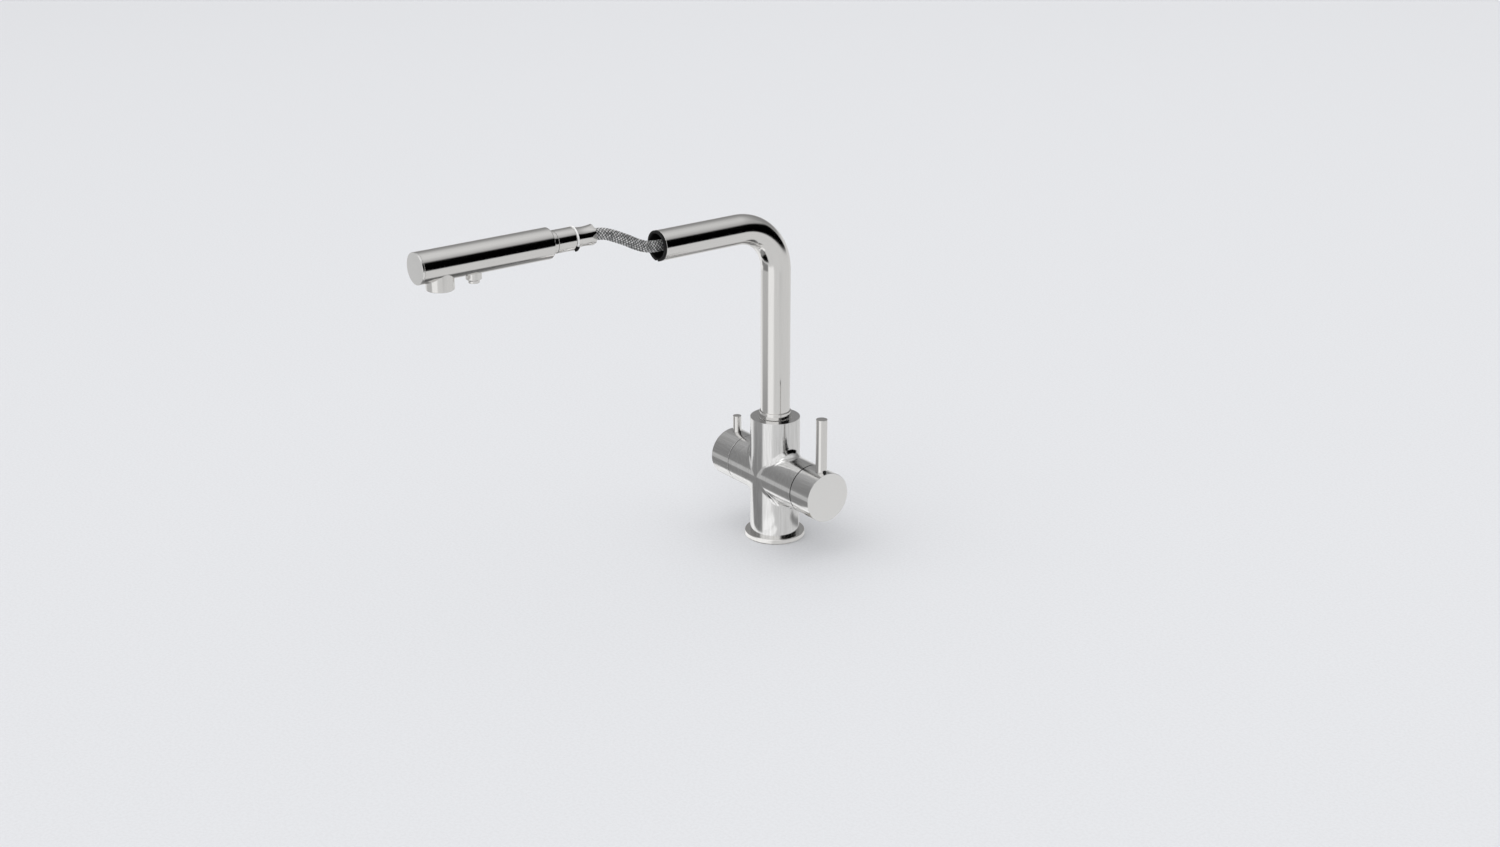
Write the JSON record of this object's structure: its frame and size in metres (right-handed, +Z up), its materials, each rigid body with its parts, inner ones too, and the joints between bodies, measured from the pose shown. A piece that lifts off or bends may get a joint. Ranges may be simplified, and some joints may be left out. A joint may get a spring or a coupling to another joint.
{
  "type": "kitchen tap",
  "caption": "Deck-mounted three way kitchen tap with an L-shaped swivel spout, a drawn-out pull-out head, a side mixer lever and a second lever for filtered water",
  "frame": {"origin": "centre of the deck seat, on the worktop's top face, at Z = 0", "axes": "+Z up along the body and the spout's upright; -Y along the spout towards the user; +X towards the mixer valve, -X towards the filter valve"},
  "size_m": [0.1437, 0.383, 0.5898],
  "materials": {
    "brushed_steel": "fine satin brushing, neutral to slightly warm",
    "plain_steel": "plain, pressed or turned",
    "brass": "plain turned",
    "rubber": "matt black",
    "black_plastic": "satin black moulding",
    "white_plastic": "satin white moulding",
    "grey_plastic": "satin grey moulding",
    "hose_braid": "grey woven nylon over a rubber tube"
  },
  "bodies": {
    "body": {"deck_gasket": "rubber", "base_flange": "brushed_steel", "tap_body": "brushed_steel", "threaded_shank": "brass", "rubber_washer": "rubber", "steel_washer": "plain_steel", "mounting_nut": "brass", "cold_inlet_tail": "brass", "hot_inlet_tail": "brass", "filtered_inlet_tail": "brass", "mixed_outlet_pipe": "brass", "hose_socket": "brass", "spout_bush": "white_plastic", "spout_seal": "rubber", "mixer_cartridge": "white_plastic", "mixer_cartridge_nut": "brass", "filter_headwork": "brass", "filter_headwork_nut": "brass", "hose_below": "hose_braid"},
    "spout": {"spout_tube": "brushed_steel", "spout_base_ring": "brushed_steel", "docking_collar": "black_plastic", "hose_in_spout": "hose_braid", "hose_free": "hose_braid"},
    "mixer_carrier": {"mixer_stem_carrier": "grey_plastic"},
    "mixer_handle": {"mixer_spindle": "brass", "mixer_knob": "brushed_steel", "mixer_lever": "brushed_steel", "mixer_grub_screw": "plain_steel"},
    "filter_handle": {"filter_spindle": "brass", "filter_knob": "brushed_steel", "filter_lever": "brushed_steel", "filter_grub_screw": "plain_steel"},
    "connector": {"hose_connector": "brushed_steel"},
    "head": {"head_barrel": "brushed_steel", "head_end_cap": "brushed_steel", "head_neck": "brushed_steel", "neck_sleeve": "brushed_steel", "head_insert": "black_plastic", "check_valve": "white_plastic", "aerator_housing": "brushed_steel", "aerator_insert": "grey_plastic", "filter_nozzle": "brushed_steel", "filter_nozzle_insert": "grey_plastic", "swivel_ring": "white_plastic"}
  },
  "joints": [
    {"name": "spout_swivel", "type": "hinge", "parent": "body", "child": "spout", "pos_m": [0, 0, 0.118], "axis": [0, 0, 1], "range_deg": [-75, 75]},
    {"name": "mixer_temperature", "type": "hinge", "parent": "body", "child": "mixer_carrier", "pos_m": [0.0443, 0, 0.0605], "axis": [1, 0, 0], "range_deg": [-45, 45]},
    {"name": "mixer_flow", "type": "hinge", "parent": "mixer_carrier", "child": "mixer_handle", "pos_m": [0.0515, 0, 0.038], "axis": [0, 1, 0], "range_deg": [0, 20]},
    {"name": "filter_turn", "type": "hinge", "parent": "body", "child": "filter_handle", "pos_m": [-0.0503, 0, 0.0605], "axis": [1, 0, 0], "range_deg": [0, 90]},
    {"name": "hose_pull", "type": "slide", "parent": "spout", "child": "connector", "axis": [0, -1, 0], "range_m": [-0.045, 0.35], "deforming": ["hose_free"]},
    {"name": "head_swivel", "type": "hinge", "parent": "connector", "child": "head", "pos_m": [0, -0.2, 0.3168], "axis": [0, -1, 0], "range_deg": [-180, 180]}
  ]
}
